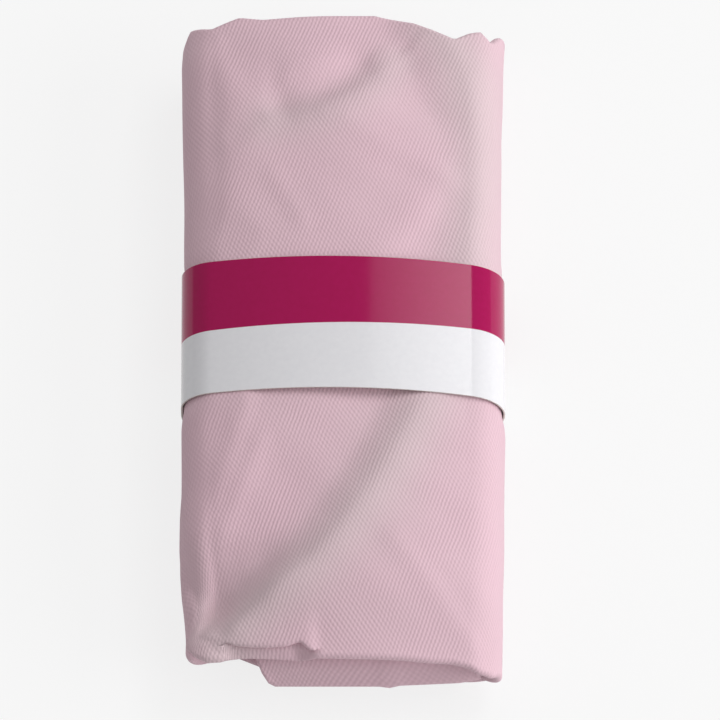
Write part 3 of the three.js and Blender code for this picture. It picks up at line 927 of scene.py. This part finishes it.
def printed_finish(name):
    """Glossy print, crimson over white, on a sheet that isn't quite flat."""
    finish, tree, shader = new_finish(name)
    place = on_object(tree)
    x, y = parts_of(tree, place)
    squared = maths(tree, "MULTIPLY_ADD", x, -print_slope, y)
    lower, upper = (print_line - print_edge) * mm, (print_line + print_edge) * mm
    over = spread_over(tree, squared, lower, upper, 0.0, 1.0)
    grain = noise(tree, place, 900.0, 3.0)
    crimson = blended(tree, grain, linear(166, 8, 80), linear(174, 12, 88))
    white = blended(tree, grain, linear(232, 231, 235), linear(240, 239, 242))
    feed(tree, shader.inputs["Base Color"], blended(tree, over, white, crimson))
    emboss(tree, shader, noise(tree, place, 70.0, 1.0), 0.08, 0.4)
    shader.inputs["Roughness"].default_value = 0.1
    shader.inputs["Specular IOR Level"].default_value = 0.3
    return finish


def mottled_finish(name, dark, pale, scale, detail, strength, roughness):
    """A plain pale surface with a fine mottle, for bare board and tape."""
    finish, tree, shader = new_finish(name)
    mottle = noise(tree, on_object(tree), scale, detail)
    feed(tree, shader.inputs["Base Color"], blended(tree, mottle, dark, pale))
    emboss(tree, shader, mottle, strength, 0.1)
    shader.inputs["Roughness"].default_value = roughness
    return finish


board_dark, board_pale = linear(216, 211, 203), linear(236, 233, 227)
card.data.materials.append(printed_finish("printed_card"))
card.data.materials.append(mottled_finish("plain_board", board_dark, board_pale, 1500.0, 4.0, 0.2, 0.85))
board_side = {"offset": -1.0, "material_offset": 1, "material_offset_rim": 1}
sharp_edges = {"limit_method": "ANGLE", "angle_limit": math.radians(50)}
finish_mesh(card, [
    ("SOLIDIFY", {"thickness": card_thickness * mm, **board_side}),
    ("BEVEL", {"width": card_bevel * mm, "segments": 2, **sharp_edges}),
])
bpy.ops.object.shade_smooth_by_angle(angle=math.radians(14))
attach(card, "sleeve")
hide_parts("sleeve_card")

# Lap tape
# A strip of double-sided tape between the card's lapped ends holds the sleeve closed. The solid of the
# frame has the right shape, so it only gets its finish.
tape_dark, tape_pale = linear(226, 222, 210), linear(240, 238, 230)
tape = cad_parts["lap_tape"]
tape.data.materials.clear()
tape.data.materials.append(mottled_finish("clear_tape", tape_dark, tape_pale, 500.0, 3.0, 0.15, 0.4))

# Floor
# A plain white floor just under the bundle, shown a little brighter than it is lit. It keeps the
# bundle's shadow.
floor_drop = 0.05
shown_white = 0.8  # the share of plain white that a look at the floor, or a reflection of it, shows
bpy.ops.object.select_all(action="DESELECT")
bpy.ops.mesh.primitive_plane_add(size=8.0, location=(0.0, 0.0, -floor_drop * mm))
floor = bpy.context.object
floor.name = "floor"
finish, tree, shader = new_finish("white_floor")
shader.inputs["Base Color"].default_value = (0.86, 0.86, 0.86, 1.0)
shader.inputs["Roughness"].default_value = 0.9
shader.inputs["Specular IOR Level"].default_value = 0.0
seen = put(tree, "ShaderNodeLightPath")
shown = maths(tree, "MAXIMUM", seen.outputs["Is Camera Ray"], seen.outputs["Is Glossy Ray"])
shown = maths(tree, "MAXIMUM", shown, seen.outputs["Is Transmission Ray"])
white_share = maths(tree, "MULTIPLY", shown, shown_white)
paper = put(tree, "ShaderNodeEmission", Color=(1.0, 1.0, 1.0, 1.0), Strength=1.0)
mixed = put(tree, "ShaderNodeMixShader", i0=white_share, i1=shader.outputs[0], i2=paper.outputs[0])
tree.links.new(mixed.outputs[0], tree.nodes["Material Output"].inputs[0])
floor.data.materials.append(finish)

# Light
# A low key from the right, a large soft box over the right shoulder that shows in the card's gloss,
# and a plain white surround.
surround_strength = 0.38
world = bpy.data.worlds.new("studio")
bpy.context.scene.world = world
world.use_nodes = True
surround = world.node_tree.nodes["Background"]
surround.inputs["Color"].default_value = (1.0, 1.0, 1.0, 1.0)
surround.inputs["Strength"].default_value = surround_strength


def soft_box(name, turn, rise_angle, distance, wide, high, power):
    """An area lamp that faces the bundle, in degrees, metres and watts. turn is its angle from overhead
    towards the right, and rise_angle its angle up the bundle's length. wide goes round the length and
    high along it."""
    lamp = bpy.data.lights.new(name, "AREA")
    lamp.shape = "RECTANGLE"
    lamp.size, lamp.size_y, lamp.energy = wide, high, power
    holder = bpy.data.objects.new(name, lamp)
    bpy.context.scene.collection.objects.link(holder)
    turn, up = math.radians(turn), math.radians(rise_angle)
    way = Vector((math.sin(turn) * math.cos(up), math.sin(up), math.cos(turn) * math.cos(up)))
    sideways = Vector((math.cos(turn), 0.0, -math.sin(turn)))
    holder.location = way * distance
    holder.rotation_euler = Matrix((sideways, way.cross(sideways), way)).transposed().to_euler()
    return lamp


soft_box("key_light", turn=66, rise_angle=-9, distance=1.6, wide=0.8, high=1.3, power=14.8)
overhead = soft_box(
    "overhead_light", turn=24, rise_angle=25, distance=1.6, wide=0.72, high=1.1, power=8.0
)
# the overhead box is brighter towards one side
overhead.use_nodes = True
tree = overhead.node_tree
on_box = put(tree, "ShaderNodeNewGeometry").outputs["Parametric"]
graded = spread_over(tree, parts_of(tree, on_box)[0], 0.0, 1.0, 0.3, 1.5)
feed(tree, tree.nodes["Emission"].inputs["Strength"], graded)

# Camera
# A long lens, high over the lower end of the bundle, looks up its length, as the photograph's did. Its
# # field is as wide as the photograph's 720 pixels.
view_slope = math.radians(65)
view_distance = 3.0
photo_pixels = 720
pixels_per_mm = 4.81
sensor = 36.0
aim = Vector((3.5 * mm, -2.8 * mm, 12.0 * mm))
eye = bpy.data.cameras.new("camera")
eye.sensor_width = sensor
eye.lens = sensor * view_distance / (photo_pixels / pixels_per_mm * mm)
eye.clip_start, eye.clip_end = 0.1, 50.0
camera = bpy.data.objects.new("camera", eye)
bpy.context.scene.collection.objects.link(camera)
back = Vector((0.0, -math.cos(view_slope), math.sin(view_slope)))
camera.location = aim + back * view_distance
camera.rotation_euler = back.to_track_quat("Z", "Y").to_euler()
bpy.context.scene.camera = camera
bpy.context.scene.view_settings.view_transform = "Standard"
